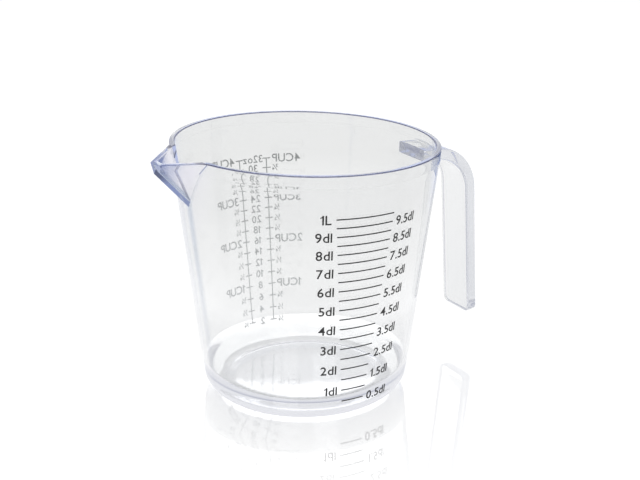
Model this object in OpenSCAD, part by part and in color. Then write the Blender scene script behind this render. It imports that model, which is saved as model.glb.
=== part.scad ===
// Measuring jug of clear moulded plastic, one litre, with a V-shaped spout, a hook handle
// and printed scales. Lengths are in millimetres, angles in degrees and volumes in millilitres.
// The origin is the middle of the base on the table. +X points to the handle, -X to the spout.

/* [Body] */
// Height from the table to the top of the rim
jug_h = 129; // [112:1:150]
// Outer diameter of the rim band
rim_d = 131; // [120:1:145]
// Outer diameter that the tapered wall would have at the table
base_d = 103; // [92:1:112]
// Thickness of the tapered wall
wall = 2.2; // [1.6:0.1:3]
// Thickness of the floor
floor_t = 4; // [2.5:0.1:6]
// Outer radius of the corner between the wall and the base
corner_r = 11; // [6:0.5:16]
// Inner radius of the corner between the wall and the floor
inner_corner_r = 16; // [8:0.5:20]

/* [Rim band] */
// Height of the upright band round the rim
band_h = 6; // [4:0.5:9]
// How far the band stands proud of the wall below it
band_proud = 0.4; // [0.2:0.1:1.2]
// Radius of the two edges on top of the rim
rim_edge_r = 0.7; // [0.3:0.1:1]

/* [Spout] */
// Width of the spout where it leaves the rim
spout_w = 40; // [26:0.5:46]
// How far the lip of the spout stands out from the rim
spout_reach = 13.5; // [9:0.5:20]
// How far below the rim the keel of the spout meets the wall
spout_depth = 25.5; // [18:0.5:34]
// How far the lip falls from the rim to its tip
lip_drop = 3.5; // [0:0.5:6]
// Thickness of the two sides of the spout
spout_wall = 2; // [1.5:0.1:2.6]
// Length cut off the sharp tip, which leaves a blunt nose
tip_blunt = 3.6; // [1:0.2:6]
// Thickness of the nose in front of the channel
nose_wall = 3; // [1.5:0.5:5]

/* [Handle] */
// Width of the strap
handle_w = 23.5; // [16:0.5:28]
// Thickness of the strap
handle_t = 6.2; // [4.5:0.1:7.5]
// Height of the underside of the strap where it leaves the wall
handle_under_z = 113; // [95:1:114]
// Inner radius of the arch at the top of the handle
arch_r = 20; // [14:0.5:24]
// Finger room between the rim and the upright part of the strap, at the arch
finger_gap = 26.5; // [24.5:0.5:36]
// Lean of the upright part away from the body
lean = 5; // [0:0.5:8]
// Height of the free end of the strap above the table
handle_end_z = 20.5; // [12:0.5:50]
// Radius of the long edges of the strap
strap_edge_r = 1.1; // [0.5:0.1:2]
// Radius of the two corners at the free end
strap_end_r = 4; // [2:0.5:8]

/* [Printed scales] */
// Width of each printed line
line_w = 0.6; // [0.3:0.1:1]
// Thickness of the ink
ink_t = 0.12; // [0.08:0.02:0.3]
// Length of the top line of the decilitre scale
top_line_len = 29.5; // [20:0.5:40]
// Length of the bottom line of the decilitre scale
low_line_len = 11.5; // [8:0.5:20]
// Direction that the decilitre scale faces
decilitre_az = -95.5; // [-110:0.5:-70]
// Direction that the cup and ounce scale faces
cup_az = 87.8; // [75:0.1:100]
// Angle from the middle of the cup and ounce scale to each of its upright rules
rule_az = 7.3; // [5:0.1:10]
// Length of each tick on the upright rules
tick_len = 4.6; // [3:0.1:7]

/* [Hidden] */
$fn = 96;

// Overrun of every cutter past the face that it cuts
over = 1;
// Steps on a quarter of a rounded corner
corner_steps = 16;

// Tapered wall
rim_r = rim_d / 2;
base_r = base_d / 2;
cone_h = jug_h - band_h;
cone_top_r = rim_r - band_proud;
taper = (cone_top_r - base_r) / cone_h;
taper_a = atan(taper);
// The wall is measured square to its slope, so it is a little wider on the level
wall_level = wall / cos(taper_a);
mouth_r = cone_top_r - wall_level;

// Outer corner: its centre, and where it meets the tapered wall
corner_x = base_r + taper * corner_r - corner_r / cos(taper_a);
corner_top_z = corner_r * (1 - sin(taper_a));
// Inner corner
inner_corner_z = floor_t + inner_corner_r;
inner_corner_x = base_r + taper * inner_corner_z - (wall + inner_corner_r) / cos(taper_a);
inner_corner_top_z = inner_corner_z - inner_corner_r * sin(taper_a);

function arc(x, z, r, from, to, n) =
    [for (i = [0:n]) let (a = from + (to - from) * i / n) [x + r * cos(a), z + r * sin(a)]];

// Radius of the outer face and of the inner face at a height
function outer_r(z) = z > corner_top_z
    ? base_r + taper * z
    : corner_x + sqrt(max(0, pow(corner_r, 2) - pow(corner_r - z, 2)));
function inner_r(z) = z > inner_corner_top_z
    ? base_r + taper * z - wall_level
    : inner_corner_x + sqrt(max(0, pow(inner_corner_r, 2) - pow(inner_corner_z - z, 2)));

// Height of the liquid for a volume: thin slices are summed up from the floor
slices = 240;
slice_h = (cone_h - floor_t) / slices;
mm3_per_ml = 1000;
function slice_ml(i) = PI * pow(inner_r(floor_t + (i + 0.5) * slice_h), 2) * slice_h / mm3_per_ml;
levels = [for (i = 0, ml = 0; i <= slices; ml = ml + slice_ml(i), i = i + 1)
    [ml, floor_t + i * slice_h]];
brim_ml = levels[slices][0];
function level(ml) = lookup(ml, levels);

// Decilitre scale: a line every half decilitre, up to one litre
half_dl_ml = 50;
litre_ml = 1000;
low_mark_z = level(half_dl_ml);
top_mark_z = level(litre_ml);
function mark_len(z) =
    low_line_len + (top_line_len - low_line_len) * (z - low_mark_z) / (top_mark_z - low_mark_z);
// Cup and ounce scale: a tick every two fluid ounces, up to four cups
ounce_ml = 29.5735;
tick_ounces = 2;
top_ounces = 32;

// Spout: the sharp tip of its outer form, and the corners of its root on the rim and on the wall
root_x = sqrt(pow(rim_r, 2) - pow(spout_w / 2, 2));
keel_z = jug_h - spout_depth;
spout_tip = [-(rim_r + spout_reach + tip_blunt), 0, jug_h - lip_drop];
spout_roots = [
    [-root_x, spout_w / 2, jug_h], [-root_x, -spout_w / 2, jug_h], [-outer_r(keel_z), 0, keel_z]
];
// The form runs on into the jug by this share of its length
spout_run_share = 1.8;
// Moving the form this far towards the axis leaves sides of spout_wall
spout_side = cross(spout_roots[0] - spout_tip, spout_roots[2] - spout_tip);
spout_shift = spout_wall * norm(spout_side) / abs(spout_side[0]);

// Handle: middle line of the strap
mid_r = arch_r + handle_t / 2;
arch_x = rim_r + finger_gap - arch_r;
arch_z = handle_under_z - arch_r;
// The grip, the upright part of the strap, is fuller than the arch by this much on every side
grip_swell = 0.05;
// Length of the grip inside the end of the arch
grip_lap = 1;
grip_w = handle_w + 2 * grip_swell;
grip_t = handle_t + 2 * grip_swell;
grip_len = (arch_z + mid_r * sin(lean) - handle_end_z) / cos(lean);

// Solid of revolution from an outline of radius and height
module turned(points, angle = 360) {
    rotate_extrude(angle = angle) polygon(points);
}

// Everything inside the outer face of the wall and inside the rim band
module jug_core() {
    turned(concat(
        [[0, 0]],
        arc(corner_x, corner_r, corner_r, -90, -taper_a, corner_steps),
        [[cone_top_r, cone_h], [mouth_r, cone_h], [mouth_r, jug_h + over], [0, jug_h + over]]
    ));
}

// Upright ring with two rounded edges on top
module rim_ring() {
    e = rim_edge_r;
    turned(concat(
        [[mouth_r, cone_h], [rim_r, cone_h]],
        arc(rim_r - e, jug_h - e, e, 0, 90, corner_steps / 2),
        arc(mouth_r + e, jug_h - e, e, 90, 180, corner_steps / 2)
    ));
}

// Part of the rim that belongs to the spout
module spout_sector() {
    translate([-rim_r - over, -spout_w / 2, cone_h - over])
        cube([rim_r + over, spout_w, band_h + 2 * over]);
}

// V-shaped form with its point at the tip and its broad end inside the jug
module spout_form() {
    tail = [for (p = spout_roots) spout_tip + spout_run_share * (p - spout_tip)];
    polyhedron(
        points = concat([spout_tip], tail),
        faces = [[0, 1, 2], [0, 3, 1], [0, 2, 3], [1, 3, 2]]
    );
}

// Channel inside the spout, open at the top and into the jug, with the nose closing its front
module spout_channel() {
    intersection() {
        hull() {
            translate([spout_shift, 0, 0]) spout_form();
            translate([spout_shift, 0, spout_depth]) spout_form();
        }
        translate([nose_wall - rim_r - spout_reach, -rim_r, 0])
            cube([rim_r + spout_reach, rim_d, jug_h + over]);
    }
}

module body() {
    color("lightsteelblue", 0.5) difference() {
        turned(concat(
            [[0, 0]],
            arc(corner_x, corner_r, corner_r, -90, -taper_a, corner_steps),
            [[cone_top_r, cone_h], [mouth_r, cone_h]],
            arc(inner_corner_x, inner_corner_z, inner_corner_r, -taper_a, -90, corner_steps),
            [[0, floor_t]]
        ));
        spout_channel();
    }
}

module rim_band() {
    color("slategray", 0.6) difference() {
        rim_ring();
        spout_sector();
    }
}

module spout() {
    color("cornflowerblue", 0.6) difference() {
        union() {
            intersection() {
                spout_form();
                translate([-rim_r - spout_reach, -spout_w, 0]) cube([rim_r, 2 * spout_w, jug_h]);
            }
            intersection() {
                rim_ring();
                spout_sector();
            }
        }
        spout_channel();
        jug_core();
    }
}

// Cross-section of the strap: thickness along x, width along y
module strap_section(t, w, edge_r) {
    square([t - 2 * edge_r, w], center = true);
    square([t, w - 2 * edge_r], center = true);
    for (x = [-1, 1], y = [-1, 1])
        translate([x * (t / 2 - edge_r), y * (w / 2 - edge_r)])
            circle(edge_r, $fn = 32);
}

// Face of the grip, with rounded corners at its free end
module grip_face() {
    translate([-grip_w / 2, -grip_lap]) square([grip_w, grip_lap + grip_len - strap_end_r]);
    translate([strap_end_r - grip_w / 2, -grip_lap])
        square([grip_w - 2 * strap_end_r, grip_lap + grip_len]);
    for (y = [-1, 1])
        translate([y * (grip_w / 2 - strap_end_r), grip_len - strap_end_r])
            circle(strap_end_r, $fn = 48);
}

// Straight part that the hand holds
module grip() {
    intersection() {
        translate([0, 0, -grip_lap])
            linear_extrude(grip_lap + grip_len) strap_section(grip_t, grip_w, strap_edge_r + grip_swell);
        translate([-grip_t / 2 - over, 0, 0])
            rotate([90, 0, 90])
                linear_extrude(grip_t + 2 * over) grip_face();
    }
}

module handle() {
    color("lavender", 0.7) difference() {
        translate([arch_x, 0, arch_z]) {
            translate([0, 0, mid_r])
                rotate([0, -90, 0])
                    linear_extrude(arch_x - mouth_r) strap_section(handle_t, handle_w, strap_edge_r);
            rotate([0, -90, 0])
                rotate([-90, 0, 0])
                    rotate_extrude(angle = 90 - lean)
                        translate([mid_r, 0]) strap_section(handle_t, handle_w, strap_edge_r);
            rotate([0, -lean, 0]) translate([mid_r, 0, 0]) rotate([0, 180, 0]) grip();
        }
        jug_core();
    }
}

// Angle that a length spans round the wall at a height
function span(len, z) = len / outer_r(z) * 180 / PI;

// Patch of ink on the wall, from one direction to another and between two heights
module ink(az0, az1, z0, z1) {
    rotate([0, 0, az0])
        turned([
            [outer_r(z0), z0],
            [outer_r(z0) + ink_t, z0],
            [outer_r(z1) + ink_t, z1],
            [outer_r(z1), z1]
        ], az1 - az0);
}

// Cutter through such a patch, with level ends
module strip_cut(az, angle, z0, z1) {
    rotate([0, 0, az])
        turned([
            [outer_r(z0) - over, z0],
            [outer_r(z1) + over, z0],
            [outer_r(z1) + over, z1],
            [outer_r(z0) - over, z1]
        ], angle);
}

module decilitre_lines() {
    color("dimgray") for (ml = [half_dl_ml:half_dl_ml:min(litre_ml, brim_ml)]) {
        z = level(ml);
        a = span(mark_len(z), z) / 2;
        ink(decilitre_az - a, decilitre_az + a, z - line_w / 2, z + line_w / 2);
    }
}

// Upright rule with a tick across it every two ounces: a strip of ink as wide as the ticks,
// cut back to the rule between one tick and the next
module cup_rule(az) {
    ounces = [tick_ounces:tick_ounces:min(top_ounces, brim_ml / ounce_ml)];
    marks = [for (oz = ounces) level(oz * ounce_ml)];
    top_z = marks[len(marks) - 1];
    tick_a = span(tick_len, top_z) / 2;
    rule_a = span(line_w, top_z) / 2;
    color("gray") difference() {
        ink(az - tick_a, az + tick_a, marks[0] - line_w / 2, top_z + line_w / 2);
        for (i = [1:len(marks) - 1], start = [az + rule_a, az - rule_a - tick_a])
            strip_cut(start, tick_a, marks[i - 1] + line_w / 2, marks[i] - line_w / 2);
    }
}

module cup_rule_left() {
    cup_rule(cup_az - rule_az);
}

module cup_rule_right() {
    cup_rule(cup_az + rule_az);
}

body();
rim_band();
spout();
handle();
decilitre_lines();
cup_rule_left();
cup_rule_right();
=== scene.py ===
"""Looks of the measuring jug: one clear moulding, its printed scales, a studio floor and the camera.

Lengths are in metres and angles in degrees. The jug stands on z = 0, its axis is Z, the spout
points to -X and the handle to +X. Azimuth is counted from +X, turning towards +Y.
"""
import math

import bmesh
import bpy
import numpy as np
from mathutils import Matrix, Vector


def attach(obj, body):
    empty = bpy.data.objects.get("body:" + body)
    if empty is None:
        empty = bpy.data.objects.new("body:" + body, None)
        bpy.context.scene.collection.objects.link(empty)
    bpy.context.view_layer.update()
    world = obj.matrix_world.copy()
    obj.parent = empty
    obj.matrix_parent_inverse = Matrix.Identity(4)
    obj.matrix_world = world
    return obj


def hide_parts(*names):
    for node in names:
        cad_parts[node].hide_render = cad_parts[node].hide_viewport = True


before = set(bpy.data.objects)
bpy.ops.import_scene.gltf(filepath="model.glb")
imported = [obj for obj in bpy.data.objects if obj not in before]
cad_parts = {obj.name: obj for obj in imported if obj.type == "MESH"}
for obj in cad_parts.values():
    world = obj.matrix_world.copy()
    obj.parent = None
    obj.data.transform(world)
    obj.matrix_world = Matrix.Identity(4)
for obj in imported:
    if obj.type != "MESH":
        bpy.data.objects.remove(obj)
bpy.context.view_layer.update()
MM = 0.001
# One overrun for what is cut
OVER = 4 * MM

# Body, as in the part's source
JUG_H = 129 * MM
RIM_R = 65.5 * MM
BASE_R = 51.5 * MM
WALL = 2.2 * MM
FLOOR_T = 4 * MM
CORNER_R = 11 * MM
INNER_CORNER_R = 16 * MM
BAND_H = 6 * MM
BAND_PROUD = 0.4 * MM
RIM_EDGE_R = 0.7 * MM

# Spout
SPOUT_W = 40 * MM
SPOUT_REACH = 13.5 * MM
SPOUT_DEPTH = 25.5 * MM
LIP_DROP = 3.5 * MM
SPOUT_WALL = 2 * MM
TIP_BLUNT = 3.6 * MM
NOSE_WALL = 3 * MM
SPOUT_EDGE_R = 0.35 * MM
CHANNEL_EDGE_R = 1.0 * MM
# The spout's form runs this many times as far from the tip as its roots are, and is then cut off
# this far inside the rim. Its top stays a little below the rim, so that no two faces share a plane
SPOUT_RUN = 1.8
SPOUT_ROOT = OVER * 2.6
SPOUT_SINK = 0.02 * MM

# Handle
HANDLE_W = 23.5 * MM
HANDLE_T = 6.2 * MM
HANDLE_UNDER_Z = 113 * MM
ARCH_R = 20 * MM
FINGER_GAP = 26.5 * MM
LEAN = 5
HANDLE_END_Z = 20.5 * MM
STRAP_EDGE_R = 1.1 * MM
STRAP_END_R = 4 * MM
ROOT_SINK = 1.2 * MM

# Printed scales: the film of ink, heights of the letters, and their gaps to the lines
INK_T = 0.1 * MM
FILM_FOOT_SHARE = 0.15
LABEL_CAP = 4.6 * MM
LABEL_GAP = 2.2 * MM
OUNCE_CAP = 4.0 * MM
CUP_CAP = 4.5 * MM
FRACTION_CAP = 3.3 * MM
CUP_GAP = 0.9 * MM
OUNCES_PER_TICK = 2
OUNCES_PER_CUP = 8
FRACTIONS = {1: "¼", 2: "½", 3: "¾"}
# Neighbouring lines are further apart than this, and the outer part of a line starts at this share
# of its half length
LINE_GAP = 2 * MM
LINE_END_SHARE = 0.3

# Built-in font: height of its capitals, extra weight on each side of a stroke, and the even gap
# between characters as a share of their height
FONT_CAP = 0.682
LETTER_WEIGHT = 0.012
LETTER_GAP = 0.13
LETTER_CURVE_STEPS = 4
# Upright cuts this far apart, as a share of the height, let the letters bend round the wall
LETTER_CUT = 0.3
# The font's one is a bare stem: this is its short flag, (across, up) in shares of the capitals
FLAG_SHARES = [(0.03, 1), (-0.06, 0.87), (-0.2, 0.82), (-0.2, 0.7), (0.03, 0.78)]

# The wall's slope and the corners between wall and base
CONE_H = JUG_H - BAND_H
CONE_TOP_R = RIM_R - BAND_PROUD
TAPER = (CONE_TOP_R - BASE_R) / CONE_H
TAPER_A = math.atan(TAPER)
TAPER_DEG = math.degrees(TAPER_A)
MOUTH_R = CONE_TOP_R - WALL / math.cos(TAPER_A)
CORNER_X = BASE_R + TAPER * CORNER_R - CORNER_R / math.cos(TAPER_A)
INNER_CORNER_Z = FLOOR_T + INNER_CORNER_R
INNER_CORNER_X = BASE_R + TAPER * INNER_CORNER_Z - (WALL + INNER_CORNER_R) / math.cos(TAPER_A)

# Steps of the round and the straight stretches
ROUND_STEPS = 288
CORNER_STEPS = 20
INNER_CORNER_STEPS = 28
WALL_STEPS = 24
BAND_STEPS = 2
EDGE_STEPS = 8
SPOUT_EDGE_STEPS = 3
CHANNEL_EDGE_STEPS = 5
STRAP_EDGE_STEPS = 7
BAR_STEPS = 5
ARCH_STEPS = 32
GRIP_STEPS = 15
STRAP_END_STEPS = 14
# The strap's rounded end and the rim's inner edge stop this short of a quarter turn
SHORT_OF_QUARTER = 2

# Points closer than this are one: in single solids, in the finished moulding and in letters
SOLID_WELD = 1e-7
JUG_WELD = 2e-6
LETTER_WELD = 1e-5
# Edges under the first angle are flat, and edges over the second one stay sharp
FLAT_ANGLE = 0.5
SHARP_ANGLE = 24
# A point this near the middle plane, or the arc of the inner corner, lies on it
ON_MIDDLE = 0.01 * MM
ON_ARC = 0.1 * MM

WHITE = (1.0, 1.0, 1.0, 1.0)

# Polished plastic: how it bends light, its gloss, its handling haze and its ripples from the mould
PLASTIC_IOR = 1.57
PLASTIC_ROUGHNESS = 0.012
HAZE_ROUGHNESS = 0.03
HAZE_SCALE = 160.0
HAZE_DETAIL = 4.0
RIPPLE_SCALE = 22.0
RIPPLE_DETAIL = 2.0
RIPPLE_STRENGTH = 0.05
RIPPLE_HEIGHT = 2 * MM
# What light turns to on long ways through the plastic, and how fast
LONG_WAY_COLOUR = (0.0, 0.05, 0.3, 1.0)
LONG_WAY_DENSITY = 7.5
# What each face of a wall lets through of the lamps' light
SHADE_TINT = (0.975, 0.977, 0.98, 1.0)

# Painted shade of the plastic by height, as a share of the jug's height: grey, darker towards the rim.
# Only the first wall that is looked through has it, and FIRST_WALL is the count of faces passed after
# which a wall isn't the first
HEIGHT_PAINTED_SHADES = [
    (0.03, (0.97, 0.97, 0.97, 1.0)),
    (0.10, (0.88, 0.884, 0.88, 1.0)),
    (0.35, (0.88, 0.884, 0.88, 1.0)),
    (0.43, (0.92, 0.924, 0.918, 1.0)),
    (0.50, (0.87, 0.874, 0.868, 1.0)),
    (0.60, (0.82, 0.825, 0.818, 1.0)),
    (0.73, (0.79, 0.796, 0.79, 1.0)),
    (0.83, (0.75, 0.756, 0.751, 1.0)),
    (0.95, (0.745, 0.751, 0.747, 1.0)),
]
FIRST_WALL = 1.5

# Painted shade of the inner corner, the spout and the handle, with the lengths over which the last two
# come
CORNER_PAINTED_SHADE = (0.58, 0.584, 0.582, 1.0)
SPOUT_PAINTED_SHADE = (0.74, 0.735, 0.79, 1.0)
SPOUT_FADE = 5 * MM
STRAP_PAINTED_SHADE = (0.82, 0.825, 0.82, 1.0)
STRAP_FADE = 8 * MM
# Painted blue shade of the spout's tip, from this far outside the rim, and of its keel, this far to each
# side
TIP_PAINTED_SHADE = (0.38, 0.43, 0.62, 1.0)
TIP_START = 3 * MM
KEEL_PAINTED_SHADE = (0.42, 0.48, 0.58, 1.0)
KEEL_HALF_W = 3 * MM
# Painted dark shade on the rim's rounded edges, with the shares of the height over which it comes and goes
RIM_EDGE_PAINTED_SHADE = (0.02, 0.022, 0.07, 1.0)
RIM_SHADE_FROM_SHARES = (0.9950, 0.9962)
RIM_SHADE_TO_SHARES = (0.9997, 0.9992)

# Light that has been reflected inside the plastic more than DEEP_TURNS times is a painted glow of a fixed
# colour: in the base, the wall and the grip, the rim band, the spout, and the rim's edge
DEEP_TURNS = 2.5
DEEP_BASE = WHITE
DEEP_WALL = (0.78, 0.79, 0.82, 1.0)
DEEP_BAND = (0.60, 0.68, 1.0, 1.0)
DEEP_SPOUT = (0.20, 0.26, 0.50, 1.0)
DEEP_RIM = (0.05, 0.06, 0.13, 1.0)
# Shares of the height over which the wall, the band and the rim's edge take over from below
DEEP_WALL_SHARES = (0.14, 0.27)
DEEP_BAND_SHARES = (0.75, 0.88)
DEEP_RIM_SHARES = (0.93, 0.97)

# Inks: their gloss, their cloudy thickness, and the cast of their grey
INK_IOR = 1.45
INK_ROUGHNESS = 0.5
THIN_ROUGHNESS = 0.15
CLOUD_SCALE = 900.0
CLOUD_DETAIL = 3.0
CLOUD_SHARES = (0.35, 0.75)
FILM_STRENGTH = 0.2
FILM_HEIGHT = 0.03 * MM
INK_CAST = (1.0, 1.03, 1.01)
# Grey levels where an ink is full and where it is thin. The grey ink's grey is painted light for black
# print seen through the jug, and its lower marks are painted paler still; these are the shares of the
# height between which it changes
DARK_LEVELS = (0.012, 0.03)
PAINTED_GREY_LOW_LEVELS = (0.54, 0.64)
PAINTED_GREY_HIGH_LEVELS = (0.34, 0.44)
INK_HEIGHT_SHARES = (0.2, 0.9)

# Floor: half its width, how far below the jug it is, its colour and gloss, and the white that it
# adds in the camera's eye
FLOOR_HALF = 12.0
FLOOR_DROP = 0.05 * MM
FLOOR_COLOUR = (0.8, 0.8, 0.8, 1.0)
FLOOR_LIFT = (0.2, 0.2, 0.2, 1.0)
FLOOR_ROUGHNESS = 0.5
# Share of mirror gloss on the floor at the jug's foot, and how far out it has faded to none
FLOOR_MIRROR = 0.5
MIRROR_ROUGHNESS = 0.03
MIRROR_REACH = 150 * MM

# Blue-grey card in the studio, which only gloss shows: distance, height, azimuths, steps and colour
CARD_R = 380 * MM
CARD_H = 62 * MM
CARD_SPAN = (0, 50)
CARD_STEPS = 24
CARD_COLOUR = (0.18, 0.25, 0.46, 1.0)

# Softboxes: what they face, and where, how large and how strong they are
LAMP_AIM = (0, 0, 0.06)
KEY_PLACE = (-0.7, -0.5, 0.9)
KEY_SIZE = (0.5, 0.8)
KEY_POWER = 2.0
BACK_PLACE = (0.5, 0.9, 0.8)
BACK_SIZE = (0.9, 0.5)
BACK_POWER = 1.5

# Camera: it looks from the side of the spout, and the jug stands left of the lens's own centre
CAMERA_AZIMUTH = -30.5
CAMERA_ELEVATION = 20.89
CAMERA_DISTANCE = 563.2 * MM
CAMERA_AIM_Z = 59.52 * MM
CAMERA_PAN = 8.839
CAMERA_ROLL = 0.357
FOCAL_PX = 1088.2
LENS_CENTRE_PX = (476.2, 273.5)
PHOTO_PX = (640, 480)
SENSOR_MM = 36.0
NEAREST_SEEN = 10 * MM


class Wire:
    """A socket in an expression: each operator adds the Math node that works it out."""

    def __init__(self, graph, socket):
        self.graph = graph
        self.socket = socket

    def _math(self, operation, *values):
        return self.graph.node("ShaderNodeMath", {"operation": operation}, *values)[0]

    def __add__(self, other):
        return self._math("ADD", self, other)

    def __mul__(self, other):
        return self._math("MULTIPLY", self, other)

    def at_least(self, other):
        return self._math("MAXIMUM", self, other)

    def above(self, other):
        return self._math("GREATER_THAN", self, other)

    def between(self, none, full):
        """0 up to the first value, 1 from the second one on, and even in between, either way round."""
        return self.graph.node("ShaderNodeMapRange", {}, self, none, full)[0]

    __radd__ = __add__
    __rmul__ = __mul__


class Graph:
    """The node tree of a material or of the world."""

    def __init__(self, owner):
        owner.use_nodes = True
        self.tree = owner.node_tree
        self.tree.nodes.clear()

    def node(self, kind, settings=None, *values, **named):
        """Adds a node, sets its settings, then fills its sockets by order or by name.

        The settings may hold a ramp's stops, as (position, colour). A name's underscores stand
        for spaces. Gives back the node's outputs as wires.
        """
        made = self.tree.nodes.new(kind)
        for key, value in (settings or {}).items():
            if key == "stops":
                set_stops(made.color_ramp.elements, value)
            else:
                setattr(made, key, value)
        for key, value in list(enumerate(values)) + [(k.replace("_", " "), v) for k, v in named.items()]:
            if isinstance(value, Wire):
                self.tree.links.new(value.socket, made.inputs[key])
            else:
                made.inputs[key].default_value = value
        return [Wire(self, out) for out in made.outputs]

    def light(self):
        """The Light Path's outputs by name: what kind of ray it is, and how often it has turned."""
        return {wire.socket.name: wire for wire in self.node("ShaderNodeLightPath")}

    def seen(self):
        """1 for what the camera sees, straight or by gloss or through clear plastic, else 0."""
        ray = self.light()
        return ray["Is Camera Ray"].at_least(ray["Is Glossy Ray"]).at_least(ray["Is Transmission Ray"])

    def place(self):
        """Where a point is in the jug's frame."""
        return self.node("ShaderNodeTexCoord")[3]

    def along(self):
        """Where a point is on the line from the spout, -X, to the handle, +X."""
        return self.node("ShaderNodeSeparateXYZ", {}, self.place())[0]

    def off_middle(self):
        """How far a point is from the plane through the spout and the handle."""
        y = self.node("ShaderNodeSeparateXYZ", {}, self.place())[1]
        return y.at_least(y * -1)

    def height(self):
        """Height of a point above the table, as a share of the jug's height."""
        return self.node("ShaderNodeSeparateXYZ", {}, self.place())[2] * (1 / JUG_H)

    def noise(self, scale, detail):
        """Soft cloudy pattern, from 0 to 1."""
        return self.node("ShaderNodeTexNoise", {}, Vector=self.place(), Scale=scale, Detail=detail)[0]

    def ramp(self, value, stops):
        """Colour ramp over a value, from a list of (position, colour)."""
        return self.node("ShaderNodeValToRGB", {"stops": stops}, value)[0]

    def mix_colour(self, share, first, second):
        """From the first colour to the second as the share goes from 0 to 1."""
        return self.node("ShaderNodeMix", {"data_type": "RGBA"}, Factor=share, A=first, B=second)[2]

    def glow(self, colour):
        """Even light of one colour."""
        return self.node("ShaderNodeEmission", {}, colour, 1.0)[0]

    def blend(self, share, first, second):
        """From the first shader to the second as the share goes from 0 to 1."""
        return self.node("ShaderNodeMixShader", {}, share, first, second)[0]


def set_stops(elements, stops):
    """Sets a colour ramp's stops, of which a new ramp has two."""
    for i, (position, colour) in enumerate(stops):
        stop = elements[i] if i < 2 else elements.new(position)
        stop.position = position
        stop.color = colour


def plastic_tint(g):
    """Painted shade in the clear plastic's colour: greyer towards the rim, blue in the spout's keel and
    tip.
    """
    first_wall_passed = g.light()["Transmission Depth"].above(FIRST_WALL)
    # Painted shade by height and on the spout, kept on the first wall looked through, then painted shade
    # on the tip, the handle, the keel, the rim's edges and the inner corner
    painted_shade = g.ramp(g.height(), HEIGHT_PAINTED_SHADES)
    painted_shade = g.mix_colour(g.along().between(-RIM_R, -RIM_R + SPOUT_FADE), SPOUT_PAINTED_SHADE, painted_shade)
    painted_shade = g.mix_colour(first_wall_passed, painted_shade, WHITE)
    painted_shade = g.mix_colour(g.along().between(-RIM_R - SPOUT_REACH, -RIM_R - TIP_START), TIP_PAINTED_SHADE, painted_shade)
    painted_shade = g.mix_colour(g.along().between(RIM_R, RIM_R + STRAP_FADE), painted_shade, STRAP_PAINTED_SHADE)
    # No height limits the keel's painted shade, so that it also fades out down the wall below the spout
    keel = g.off_middle().between(KEEL_HALF_W, KEEL_HALF_W / 2) * g.along().between(-BASE_R, -RIM_R)
    painted_shade = g.mix_colour(keel, painted_shade, KEEL_PAINTED_SHADE)
    # Painted dark shade on the rim's rounded edges
    edges = g.height().between(*RIM_SHADE_FROM_SHARES) * g.height().between(*RIM_SHADE_TO_SHARES)
    painted_shade = g.mix_colour(edges, painted_shade, RIM_EDGE_PAINTED_SHADE)
    # Painted shade in the rounded corner between floor and wall
    corner = g.node("ShaderNodeAttribute", {"attribute_name": "inner_corner"})[2]
    return g.mix_colour(corner, painted_shade, CORNER_PAINTED_SHADE)


def deep_light(g):
    """Painted glow for light that has been thrown about inside the plastic: pale in the base, navy in the
    rim.
    """
    height = g.height()
    low = g.blend(height.between(*DEEP_WALL_SHARES), g.glow(DEEP_BASE), g.glow(DEEP_WALL))
    band = g.blend(height.between(*DEEP_BAND_SHARES), low, g.glow(DEEP_BAND))
    round_jug = g.blend(height.between(*DEEP_RIM_SHARES), band, g.glow(DEEP_RIM))
    return g.blend(g.along().between(-RIM_R, -BASE_R), g.glow(DEEP_SPOUT), round_jug)


def clear_plastic():
    """Polished clear styrene with moulding ripples. Its grey where it is thin is painted shade, and its
    long ways turn blue by absorption, with painted shade and a painted glow on top.
    """
    mat = bpy.data.materials.new("clear_plastic")
    g = Graph(mat)
    ray = g.light()
    # Long soft ripples from the mould, and fine handling haze
    ripple = g.noise(RIPPLE_SCALE, RIPPLE_DETAIL)
    haze = g.noise(HAZE_SCALE, HAZE_DETAIL)
    bump = g.node("ShaderNodeBump", {}, Height=ripple, Strength=RIPPLE_STRENGTH, Distance=RIPPLE_HEIGHT)[0]
    surface = g.node(
        "ShaderNodeBsdfPrincipled", {},
        Base_Color=plastic_tint(g), Roughness=haze * HAZE_ROUGHNESS + PLASTIC_ROUGHNESS,
        IOR=PLASTIC_IOR, Normal=bump, Transmission_Weight=1.0,
    )[0]
    # Past DEEP_TURNS reflections inside, the plastic gives off a painted glow in place of its surface
    inside = g.blend(ray["Glossy Depth"].above(DEEP_TURNS), surface, deep_light(g))
    # Light from the lamps passes through the walls, so that the jug's shadow stays pale
    clear = g.node("ShaderNodeBsdfTransparent", {}, Color=SHADE_TINT)[0]
    mixed = g.blend(ray["Is Shadow Ray"].at_least(ray["Is Diffuse Ray"]), inside, clear)
    long_way = g.node(
        "ShaderNodeVolumeAbsorption", {}, Color=LONG_WAY_COLOUR, Density=LONG_WAY_DENSITY
    )[0]
    g.node("ShaderNodeOutputMaterial", {}, Surface=mixed, Volume=long_way)
    return mat


def ink_grey(level):
    """Grey with the faint green of the ink."""
    return (*(level * part for part in INK_CAST), 1.0)


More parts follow.
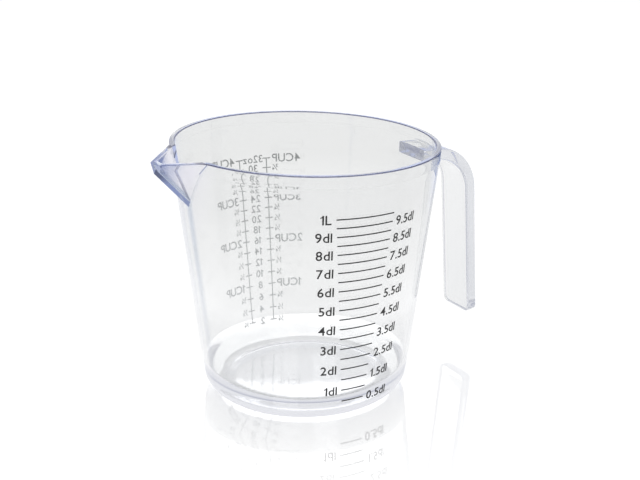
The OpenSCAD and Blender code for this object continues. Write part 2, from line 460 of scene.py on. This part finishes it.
def ink(name, low_levels, high_levels):
    """Screen-printed ink: matt, and a little thinner in places.

    The grey levels are (full, thin), near the base and near the rim. Where they differ, the lower marks
    are painted paler, as painted light over the print.
    """
    mat = bpy.data.materials.new(name)
    g = Graph(mat)
    cloud = g.noise(CLOUD_SCALE, CLOUD_DETAIL)
    low, high = (
        g.ramp(cloud, list(zip(CLOUD_SHARES, map(ink_grey, levels))))
        for levels in (low_levels, high_levels)
    )
    colour = g.mix_colour(g.height().between(*INK_HEIGHT_SHARES), low, high)
    film = g.node("ShaderNodeBump", {}, Height=cloud, Strength=FILM_STRENGTH, Distance=FILM_HEIGHT)[0]
    coat = g.node(
        "ShaderNodeBsdfPrincipled", {},
        Base_Color=colour, Roughness=cloud * THIN_ROUGHNESS + INK_ROUGHNESS, IOR=INK_IOR, Normal=film,
    )[0]
    g.node("ShaderNodeOutputMaterial", {}, Surface=coat)
    return mat


def floor_gloss():
    """White glossy table top. It lifts towards white in the camera's eye, as the backdrop does."""
    mat = bpy.data.materials.new("white_gloss_floor")
    g = Graph(mat)
    matt = g.node(
        "ShaderNodeBsdfPrincipled", {},
        Base_Color=FLOOR_COLOUR, Roughness=FLOOR_ROUGHNESS, Specular_IOR_Level=0.0,
    )[0]
    lifted = g.node("ShaderNodeAddShader", {}, matt, g.glow(FLOOR_LIFT))[0]
    mirror = g.node(
        "ShaderNodeBsdfPrincipled", {}, Base_Color=WHITE, Roughness=MIRROR_ROUGHNESS, Metallic=1.0
    )[0]
    out = g.node("ShaderNodeVectorMath", {"operation": "LENGTH"}, g.place())[1]
    share = out.between(MIRROR_REACH, BASE_R) * FLOOR_MIRROR
    top = g.blend(share, g.blend(g.seen(), matt, lifted), mirror)
    g.node("ShaderNodeOutputMaterial", {}, Surface=top)
    return mat


def card_paper():
    """Blue-grey card that gives off its own even light."""
    mat = bpy.data.materials.new("dark_card")
    g = Graph(mat)
    g.node("ShaderNodeOutputMaterial", {}, Surface=g.glow(CARD_COLOUR))
    return mat


def studio_world():
    """White all round."""
    world = bpy.data.worlds.new("studio")
    bpy.context.scene.world = world
    g = Graph(world)
    white = g.node("ShaderNodeBackground", {}, WHITE, 1.0)[0]
    g.node("ShaderNodeOutputWorld", {}, Surface=white)


def at_origin(name, mesh, material, smooth):
    """Shows a mesh as an object at the origin, smooth or flat all over."""
    mesh.polygons.foreach_set("use_smooth", np.full(len(mesh.polygons), smooth))
    mesh.materials.append(material)
    mesh.update()
    piece = bpy.data.objects.new(name, mesh)
    bpy.context.scene.collection.objects.link(piece)
    return piece


def new_piece(name, points, faces, material, smooth=True):
    """A mesh object at the origin from points in the jug's frame."""
    mesh = bpy.data.meshes.new(name)
    mesh.from_pydata([tuple(p) for p in points], [], [tuple(f) for f in faces])
    return at_origin(name, mesh, material, smooth)


def points_of(mesh):
    """All points of a mesh as rows of x, y and z."""
    co = np.zeros(len(mesh.vertices) * 3)
    mesh.vertices.foreach_get("co", co)
    return co.reshape(-1, 3)


def arc(x, z, r, start, end, steps):
    """Points on a circle: (x + r cos a, z + r sin a), with the angle a from start to end."""
    a = np.radians(np.linspace(start, end, steps + 1))
    return np.column_stack([x + r * np.cos(a), z + r * np.sin(a)])


def rise(low, high, steps):
    """Evenly spaced points between two points of an outline, without its ends."""
    share = np.linspace(0, 1, steps + 2)[1:-1, None]
    return np.array(low) * (1 - share) + np.array(high) * share


def wall_radius(z):
    """Outer radius of the tapered wall at a height."""
    return BASE_R + TAPER * z


def turned(name, outline, material):
    """Closed solid of revolution: (r cos a, r sin a, z) over the outline and over the turn.

    The outline starts and ends on the axis, which it meets in one point each.
    """
    ring = np.radians(np.arange(ROUND_STEPS) * 360 / ROUND_STEPS)
    r, z = np.array(outline[1:-1]).T
    grid = np.stack([
        r[:, None] * np.cos(ring), r[:, None] * np.sin(ring), np.repeat(z[:, None], ROUND_STEPS, 1)
    ], axis=-1).reshape(-1, 3)
    low, high = len(grid), len(grid) + 1
    points = np.vstack([grid, [0, 0, outline[0][1]], [0, 0, outline[-1][1]]])
    here = np.arange(ROUND_STEPS)
    after = (here + 1) % ROUND_STEPS
    faces = []
    for i in range(len(r) - 1):
        a, b = i * ROUND_STEPS, (i + 1) * ROUND_STEPS
        faces += np.column_stack([here + a, after + a, after + b, here + b]).tolist()
    last = (len(r) - 1) * ROUND_STEPS
    faces += np.column_stack([after, here, np.full(ROUND_STEPS, low)]).tolist()
    faces += np.column_stack([here + last, after + last, np.full(ROUND_STEPS, high)]).tolist()
    solid = new_piece(name, points, faces, material)
    face_outwards(solid)
    return solid


def outer_outline():
    """Base, rounded corner, tapered wall, rim band with its rounded outer edge, and a flat top."""
    e = RIM_EDGE_R
    corner = arc(CORNER_X, CORNER_R, CORNER_R, -90, -TAPER_DEG, CORNER_STEPS)
    return [
        (0, 0), (CORNER_X / 2, 0), *corner,
        *rise(corner[-1], (CONE_TOP_R, CONE_H), WALL_STEPS), (CONE_TOP_R, CONE_H),
        (RIM_R, CONE_H), *rise((RIM_R, CONE_H), (RIM_R, JUG_H - e), BAND_STEPS),
        *arc(RIM_R - e, JUG_H - e, e, 0, 90, EDGE_STEPS), (RIM_R / 2, JUG_H), (0, JUG_H),
    ]


def inner_outline():
    """Floor, wide rounded corner, tapered wall, upright band, and the rounded inner edge of the rim.

    Above the rim it runs straight up, past the jug.
    """
    e = RIM_EDGE_R
    corner = arc(INNER_CORNER_X, INNER_CORNER_Z, INNER_CORNER_R, -90, -TAPER_DEG, INNER_CORNER_STEPS)
    edge = arc(MOUTH_R + e, JUG_H - e, e, 180, 90 + SHORT_OF_QUARTER, EDGE_STEPS)
    return [
        (0, FLOOR_T), (INNER_CORNER_X / 2, FLOOR_T), *corner,
        *rise(corner[-1], (MOUTH_R, CONE_H), WALL_STEPS), (MOUTH_R, CONE_H),
        *rise((MOUTH_R, CONE_H), edge[0], BAND_STEPS), *edge,
        (MOUTH_R + e, JUG_H), (MOUTH_R + e, JUG_H + OVER), (0, JUG_H + OVER),
    ]


def hull(points):
    """Working mesh of the convex solid round a few points."""
    mesh = bmesh.new()
    for p in points:
        mesh.verts.new(p)
    made = bmesh.ops.convex_hull(mesh, input=mesh.verts)
    left_over = set(made["geom_interior"] + made["geom_unused"])
    loose = [v for v in mesh.verts if v in left_over or not v.link_faces]
    bmesh.ops.delete(mesh, geom=loose, context="VERTS")
    flat = math.radians(FLAT_ANGLE)
    bmesh.ops.dissolve_limit(mesh, angle_limit=flat, verts=mesh.verts, edges=mesh.edges)
    return mesh


def spout_points(shift):
    """Corners of the spout's form: its sharp tip, and its broad end inside the jug.

    A corner of the broad end is tip + run * (root - tip), with the roots on the rim and the wall.
    All corners move along X until the two sides have moved inwards by the shift, which takes
    shift * length of a side's normal / that normal's part along X.
    """
    root_x = math.sqrt(RIM_R ** 2 - (SPOUT_W / 2) ** 2)
    keel_z = JUG_H - SPOUT_DEPTH
    tip = np.array([-(RIM_R + SPOUT_REACH + TIP_BLUNT), 0, JUG_H - LIP_DROP])
    roots = np.array([
        [-root_x, SPOUT_W / 2, JUG_H], [-root_x, -SPOUT_W / 2, JUG_H], [-wall_radius(keel_z), 0, keel_z],
    ])
    side = np.cross(roots[0] - tip, roots[2] - tip)
    move = shift * np.linalg.norm(side) / abs(side[0])
    points = np.vstack([tip, tip + SPOUT_RUN * (roots - tip)])
    return points + [move, 0, 0]


def everything(mesh):
    """All points, edges and faces of a working mesh."""
    return mesh.verts[:] + mesh.edges[:] + mesh.faces[:]


def cut_flat(mesh, point, outward):
    """Cuts a closed mesh with a plane and closes it again, keeping the side away from outward."""
    cut = bmesh.ops.bisect_plane(
        mesh, geom=everything(mesh), plane_co=point, plane_no=outward, clear_outer=True
    )
    rim = [e for e in cut["geom_cut"] if isinstance(e, bmesh.types.BMEdge)]
    bmesh.ops.edgenet_fill(mesh, edges=rim)
    bmesh.ops.recalc_face_normals(mesh, faces=mesh.faces)


def round_edges(mesh, edges, r, steps):
    """Rounds some edges of a working mesh."""
    bmesh.ops.bevel(
        mesh, geom=edges, offset=r, offset_type="OFFSET", segments=steps, profile=0.5, affect="EDGES",
    )


def finished(name, mesh, material):
    """Turns a working mesh into a smooth object."""
    data = bpy.data.meshes.new(name)
    bmesh.ops.recalc_face_normals(mesh, faces=mesh.faces)
    mesh.to_mesh(data)
    mesh.free()
    return at_origin(name, data, material, True)


def spout_outside(material):
    """V-shaped form with its tip cut blunt, its top level with the rim and its edges rounded."""
    mesh = hull(spout_points(0))
    cut_flat(mesh, (0, 0, JUG_H - SPOUT_SINK), (0, 0, 1))
    cut_flat(mesh, (-(RIM_R + SPOUT_REACH), 0, 0), (-1, 0, 0))
    cut_flat(mesh, (-(RIM_R - SPOUT_ROOT), 0, 0), (1, 0, 0))
    front = [e for e in mesh.edges if min(v.co.x for v in e.verts) < -RIM_R]
    round_edges(mesh, front, SPOUT_EDGE_R, SPOUT_EDGE_STEPS)
    return finished("spout_outside", mesh, material)


def spout_channel(material):
    """The same form moved inwards by the thickness of the spout's sides, open upwards."""
    form = spout_points(SPOUT_WALL)
    mesh = hull(np.vstack([form, form + [0, 0, SPOUT_DEPTH]]))
    cut_flat(mesh, (NOSE_WALL - RIM_R - SPOUT_REACH, 0, 0), (-1, 0, 0))
    keel = [
        e for e in mesh.edges
        if all(abs(v.co.y) < ON_MIDDLE for v in e.verts)
        and abs(e.verts[0].co.x - e.verts[1].co.x) > SPOUT_REACH and max(v.co.z for v in e.verts) < JUG_H
    ]
    round_edges(mesh, keel, CHANNEL_EDGE_R, CHANNEL_EDGE_STEPS)
    return finished("spout_channel", mesh, material)


def strap_path():
    """Middle line of the strap: level bar, arch, leaning grip. Gives (x, z, direction, run left).

    The arch is (x + r sin a, z + r cos a), with a from 0 to a quarter turn less the lean. The grip
    runs on straight from there, and its last steps are r sin a, which follow the rounded end.
    """
    mid_r = ARCH_R + HANDLE_T / 2
    arch_x = RIM_R + FINGER_GAP - ARCH_R
    arch_z = HANDLE_UNDER_Z - ARCH_R
    lean = math.radians(LEAN)
    grip_len = (arch_z + mid_r * math.sin(lean) - HANDLE_END_Z) / math.cos(lean)
    bar = [(x, arch_z + mid_r, 0.0) for x in np.linspace(MOUTH_R + ROOT_SINK, arch_x, BAR_STEPS + 1)[:-1]]
    turn = [
        (arch_x + mid_r * math.sin(a), arch_z + mid_r * math.cos(a), a)
        for a in np.linspace(0, math.pi / 2 - lean, ARCH_STEPS + 1)
    ]
    end_turn = np.radians(np.linspace(0, 90 - SHORT_OF_QUARTER, STRAP_END_STEPS + 1)[1:])
    steps = np.concatenate([
        np.linspace(0, grip_len - STRAP_END_R, GRIP_STEPS + 1)[1:],
        grip_len - STRAP_END_R + STRAP_END_R * np.sin(end_turn),
    ])
    x0, z0, a0 = turn[-1]
    grip = [(x0 + s * math.cos(a0), z0 - s * math.sin(a0), a0) for s in steps]
    runs = [grip_len] * (len(bar) + len(turn)) + list(grip_len - steps)
    return np.column_stack([np.array(bar + turn + grip), runs])


def strap_section(half_t, half_w, edge_r):
    """Rounded rectangle of four arcs: thickness first, width second."""
    corners = [(1, 1, 0), (-1, 1, 90), (-1, -1, 180), (1, -1, 270)]
    return np.vstack([
        arc(sx * (half_t - edge_r), sy * (half_w - edge_r), edge_r, start, start + 90, STRAP_EDGE_STEPS)
        for sx, sy, start in corners
    ])


def rounded_off(half, r, left):
    """Half a size near the strap's end: half - r + sqrt(r^2 - (r - run left)^2), and half before it."""
    return half + math.sqrt(max(r ** 2 - (r - left) ** 2, 0)) - r if left < r else half


def handle_strap(material):
    """The strap's section carried along its path: place + thickness * outward + width * Y.

    Near the free end the width follows the rounded corners and the thickness the rounded edge.
    """
    rings = []
    for x, z, a, left in strap_path():
        half_w = rounded_off(HANDLE_W / 2, STRAP_END_R, left)
        half_t = rounded_off(HANDLE_T / 2, STRAP_EDGE_R, left)
        section = strap_section(half_t, half_w, STRAP_EDGE_R)
        # The section's thickness points out of the arch
        out = np.array([math.sin(a), 0, math.cos(a)])
        rings.append(np.array([x, 0, z]) + section[:, :1] * out + section[:, 1:] * np.array([0, 1, 0]))
    count = len(rings[0])
    here = np.arange(count)
    after = (here + 1) % count
    faces = [list(range(count)), list(range(len(rings) * count - 1, (len(rings) - 1) * count - 1, -1))]
    for i in range(len(rings) - 1):
        a, b = i * count, (i + 1) * count
        faces += np.column_stack([here + a, here + b, after + b, after + a]).tolist()
    strap = new_piece("handle_strap", np.vstack(rings), faces, material)
    face_outwards(strap)
    return strap


def face_outwards(piece):
    """Merges doubles and points every face outwards."""
    mesh = bmesh.new()
    mesh.from_mesh(piece.data)
    bmesh.ops.remove_doubles(mesh, verts=mesh.verts, dist=SOLID_WELD)
    bmesh.ops.recalc_face_normals(mesh, faces=mesh.faces)
    mesh.to_mesh(piece.data)
    mesh.free()


def worked_out(thing):
    """Mesh of an object with its modifiers or its text worked out."""
    bpy.context.view_layer.update()
    return bpy.data.meshes.new_from_object(thing.evaluated_get(bpy.context.evaluated_depsgraph_get()))


def combine(piece, other, operation):
    """Joins another closed solid to a piece, or takes it away from it."""
    step = piece.modifiers.new(operation.lower(), "BOOLEAN")
    step.operation = operation
    step.solver = "EXACT"
    step.object = other
    result = worked_out(piece)
    piece.modifiers.clear()
    piece.data = result
    bpy.data.objects.remove(other)


def jug_moulding(material):
    """Body, rim band, spout and handle as the one clear moulding that they are."""
    jug = turned("jug_moulding", outer_outline(), material)
    hollow = turned("hollow", inner_outline(), material)
    combine(jug, handle_strap(material), "UNION")
    combine(jug, spout_outside(material), "UNION")
    combine(jug, hollow, "DIFFERENCE")
    combine(jug, spout_channel(material), "DIFFERENCE")
    mesh = bmesh.new()
    mesh.from_mesh(jug.data)
    bmesh.ops.remove_doubles(mesh, verts=mesh.verts, dist=JUG_WELD)
    bmesh.ops.dissolve_degenerate(mesh, edges=mesh.edges, dist=JUG_WELD)
    bmesh.ops.recalc_face_normals(mesh, faces=mesh.faces)
    mesh.to_mesh(jug.data)
    mesh.free()
    jug.data.polygons.foreach_set("use_smooth", np.full(len(jug.data.polygons), True))
    jug.data.set_sharp_from_angle(angle=math.radians(SHARP_ANGLE))
    mark_inner_corner(jug.data)
    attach(jug, "root")
    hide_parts("body", "rim_band", "spout", "handle")


def mark_inner_corner(mesh):
    """Stores at each point how far it is inside the rounded corner between floor and wall, where the
    plastic gets a painted shade.

    Only points on the corner's arc count: share = sin(180 t), where t goes from 0 at the floor to
    1 at the wall.
    """
    x, y, z = points_of(mesh).T
    side, down = np.hypot(x, y) - INNER_CORNER_X, INNER_CORNER_Z - z
    t = np.degrees(np.arctan2(side, down)) / (90 - TAPER_DEG)
    on_arc = (np.abs(np.hypot(side, down) - INNER_CORNER_R) < ON_ARC) & (t > 0) & (t < 1)
    share = np.where(on_arc, np.sin(np.pi * t), 0.0)
    mesh.attributes.new("inner_corner", "FLOAT", "POINT").data.foreach_set("value", share)


def prism(mesh, outline, half):
    """Adds a closed upright solid over a flat outline to a working mesh."""
    ends = [[mesh.verts.new((x, y, z)) for x, y in outline] for z in (-half, half)]
    count = len(outline)
    mesh.faces.new(ends[0])
    mesh.faces.new(ends[1])
    for i in range(count):
        j = (i + 1) % count
        mesh.faces.new((ends[0][i], ends[0][j], ends[1][j], ends[1][i]))


def character(text):
    """One character as a working mesh, centred on y = 0 and z = 0. Gives its width too.

    Its height and thickness are 1, and it starts at x = 0.
    """
    curve = bpy.data.curves.new("character", "FONT")
    curve.body = text
    curve.offset = LETTER_WEIGHT
    curve.extrude = 1 / 2
    curve.resolution_u = LETTER_CURVE_STEPS
    thing = bpy.data.objects.new("character", curve)
    bpy.context.scene.collection.objects.link(thing)
    flat = worked_out(thing)
    bpy.data.objects.remove(thing)
    mesh = bmesh.new()
    mesh.from_mesh(flat)
    bmesh.ops.remove_doubles(mesh, verts=mesh.verts, dist=LETTER_WELD)
    if text == "1":
        left = min(v.co.x for v in mesh.verts)
        prism(mesh, [(left + x * FONT_CAP, y * FONT_CAP) for x, y in FLAG_SHARES], 1 / 2)
    scale = 1 / (FONT_CAP + 2 * LETTER_WEIGHT)
    low = min(v.co.x for v in mesh.verts)
    for v in mesh.verts:
        v.co.x = (v.co.x - low) * scale
        v.co.y = v.co.y * scale - 1 / 2
    width = max(v.co.x for v in mesh.verts)
    for x in np.arange(0, width, LETTER_CUT)[1:]:
        bmesh.ops.bisect_plane(
            mesh, geom=everything(mesh), plane_co=(x, 0, 0), plane_no=(1, 0, 0), dist=LETTER_WELD
        )
    bmesh.ops.triangulate(mesh, faces=mesh.faces)
    bmesh.ops.recalc_face_normals(mesh, faces=mesh.faces)
    mesh.verts.index_update()
    return mesh, width


def letters(text, cap):
    """Flat text as closed meshes, set side by side with an even gap. Gives points, faces and width."""
    points, faces = [], []
    count, start = 0, 0.0
    for one in text:
        mesh, width = character(one)
        shape = np.array([v.co for v in mesh.verts])
        points.append(shape * [cap, cap, 1] + [start, 0, 0])
        faces += [[v.index + count for v in f.verts] for f in mesh.faces]
        count += len(shape)
        start += (width + LETTER_GAP) * cap
        mesh.free()
    return np.vstack(points), faces, start - LETTER_GAP * cap


def on_wall(points, azimuth, height, start):
    """Wraps flat letters on the outer face of the wall.

    x runs along the circumference from start and y up the slope. The letters' two sides lie just
    above the wall and one film of ink above it: radius = wall radius + film, or + a share of it.
    """
    z = height + points[:, 1] * math.cos(TAPER_A)
    film = np.where(points[:, 2] > 0, INK_T, INK_T * FILM_FOOT_SHARE)
    r = wall_radius(z) + film
    a = math.radians(azimuth) + (start + points[:, 0]) / wall_radius(height)
    return np.column_stack([r * np.cos(a), r * np.sin(a), z])


def printed(name, labels, material):
    """One piece from many labels: (text, azimuth, height, side, cap height, gap).

    side -1 ends the text a gap before the azimuth, 1 starts it a gap after, and 0 centres it.
    """
    points, faces = [], []
    count = 0
    for text, azimuth, height, side, cap, gap in labels:
        shape, skin, width = letters(text, cap)
        start = {-1: -gap - width, 0: -width / 2, 1: gap}[side]
        points.append(on_wall(shape, azimuth, height, start))
        faces += [[i + count for i in f] for f in skin]
        count += len(shape)
    piece = new_piece(name, np.vstack(points), faces, material, smooth=False)
    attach(piece, "root")


def marks(node):
    """Printed lines of a CAD node: each line's height, and the azimuths of its two ends."""
    co = points_of(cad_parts[node].data)
    co = co[np.argsort(co[:, 2])]
    azimuth = np.degrees(np.arctan2(co[:, 1], co[:, 0]))
    middle = (azimuth.min() + azimuth.max()) / 2
    reach = (azimuth.max() - azimuth.min()) / 2
    outer = np.abs(azimuth - middle) > reach * LINE_END_SHARE
    co, azimuth = co[outer], azimuth[outer]
    breaks = np.flatnonzero(np.diff(co[:, 2]) > LINE_GAP) + 1
    groups = np.split(np.arange(len(co)), breaks)
    return [(co[i, 2].mean(), azimuth[i].min(), azimuth[i].max()) for i in groups]


def decilitre_numbers(material):
    """Whole decilitres on the left of their lines and halves on the right."""
    labels = []
    lines = marks("decilitre_lines")
    for i, (height, left, right) in enumerate(lines):
        value = (i + 1) / 2
        is_whole = value == int(value)
        text = "1L" if value == len(lines) // 2 else f"{int(value) if is_whole else value}dl"
        azimuth, side = (left, -1) if is_whole else (right, 1)
        labels.append((text, azimuth, height, side, LABEL_CAP, LABEL_GAP))
    printed("decilitre_numbers", labels, material)


def cup_numbers(material):
    """Ounces between the two rules, and cups with their fractions outside them."""
    labels = []
    left_marks = marks("cup_rule_left")
    right_marks = marks("cup_rule_right")
    for i, (height, left, right) in enumerate(left_marks):
        ounces = (i + 1) * OUNCES_PER_TICK
        middle = (right + right_marks[i][1]) / 2
        text = f"{ounces}oz" if i == len(left_marks) - 1 else str(ounces)
        labels.append((text, middle, height, 0, OUNCE_CAP, 0))
        whole, part = divmod(i + 1, OUNCES_PER_CUP // OUNCES_PER_TICK)
        text, cap = (FRACTIONS[part], FRACTION_CAP) if part else (f"{whole}CUP", CUP_CAP)
        labels.append((text, left, height, -1, cap, CUP_GAP))
        labels.append((text, right_marks[i][2], height, 1, cap, CUP_GAP))
    printed("cup_numbers", labels, material)


def show_cad_ink(material, *nodes):
    """The printed lines are the CAD's own pieces with the ink's finish."""
    for name in nodes:
        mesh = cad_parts[name].data
        mesh.materials.clear()
        mesh.materials.append(material)


def studio_floor():
    """Wide level table top, so wide that its edge is far out of view."""
    size = FLOOR_HALF
    corners = [(-size, -size, 0), (size, -size, 0), (size, size, 0), (-size, size, 0)]
    floor = new_piece("studio_floor", corners, [(0, 1, 2, 3)], floor_gloss(), smooth=False)
    floor.data.transform(Matrix.Translation((0, 0, -FLOOR_DROP)))


def studio_card():
    """Low card behind the jug, on the side of the handle. Only gloss shows it.

    It is an arc round the jug's axis: (radius cos a, radius sin a), from the floor up to its height.
    """
    a = np.radians(np.linspace(*CARD_SPAN, CARD_STEPS + 1))
    foot = np.column_stack([CARD_R * np.cos(a), CARD_R * np.sin(a), np.zeros(len(a))])
    points = np.vstack([foot, foot + [0, 0, CARD_H]])
    here = np.arange(len(a) - 1)
    faces = np.column_stack([here, here + 1, here + 1 + len(a), here + len(a)])
    card = new_piece("dark_card", points, faces, card_paper())
    card.visible_camera = False
    card.visible_diffuse = False
    card.visible_transmission = False
    card.visible_shadow = False


def soft_lamp(name, place, size, power):
    """Rectangular softbox that faces the jug."""
    lamp = bpy.data.lights.new(name, "AREA")
    lamp.shape = "RECTANGLE"
    lamp.size, lamp.size_y = size
    lamp.energy = power
    thing = bpy.data.objects.new(name, lamp)
    bpy.context.scene.collection.objects.link(thing)
    thing.location = place
    thing.rotation_mode = "QUATERNION"
    thing.rotation_quaternion = (Vector(LAMP_AIM) - Vector(place)).to_track_quat("-Z", "Y")


def photo_camera():
    """Places the camera round the jug's axis, pans it, rolls it, and shifts the lens."""
    e = math.radians(CAMERA_ELEVATION)
    pan = math.radians(CAMERA_PAN)
    roll = math.radians(CAMERA_ROLL)
    place = np.array([
        0, -CAMERA_DISTANCE * math.cos(e), CAMERA_AIM_Z + CAMERA_DISTANCE * math.sin(e)
    ])
    ahead = np.array([0, math.cos(e), -math.sin(e)])
    side = np.array([1.0, 0, 0])
    above = np.cross(side, ahead)
    ahead, side = (
        ahead * math.cos(pan) + side * math.sin(pan), side * math.cos(pan) - ahead * math.sin(pan)
    )
    side, above = (
        side * math.cos(roll) + above * math.sin(roll), above * math.cos(roll) - side * math.sin(roll)
    )
    pose = Matrix([[side[i], above[i], -ahead[i], place[i]] for i in range(3)] + [[0, 0, 0, 1]])
    data = bpy.data.cameras.new("photo_camera")
    data.sensor_width = SENSOR_MM
    data.lens = FOCAL_PX / PHOTO_PX[0] * SENSOR_MM
    data.shift_x = (PHOTO_PX[0] / 2 - LENS_CENTRE_PX[0]) / PHOTO_PX[0]
    data.shift_y = (LENS_CENTRE_PX[1] - PHOTO_PX[1] / 2) / PHOTO_PX[0]
    data.clip_start = NEAREST_SEEN
    camera = bpy.data.objects.new("photo_camera", data)
    bpy.context.scene.collection.objects.link(camera)
    camera.matrix_world = Matrix.Rotation(math.radians(CAMERA_AZIMUTH), 4, "Z") @ pose
    bpy.context.scene.camera = camera


studio_world()
studio_floor()
studio_card()
soft_lamp("key_softbox", KEY_PLACE, KEY_SIZE, KEY_POWER)
soft_lamp("back_softbox", BACK_PLACE, BACK_SIZE, BACK_POWER)
photo_camera()

plastic = clear_plastic()
dark_ink = ink("dark_ink", DARK_LEVELS, DARK_LEVELS)
# The cup scale's black print is painted grey, paler low down: painted light that the jug's walls lay over
# it
grey_ink = ink("grey_ink", PAINTED_GREY_LOW_LEVELS, PAINTED_GREY_HIGH_LEVELS)
jug_moulding(plastic)
show_cad_ink(dark_ink, "decilitre_lines")
show_cad_ink(grey_ink, "cup_rule_left", "cup_rule_right")
decilitre_numbers(dark_ink)
cup_numbers(grey_ink)

bpy.context.scene.view_settings.view_transform = "Standard"
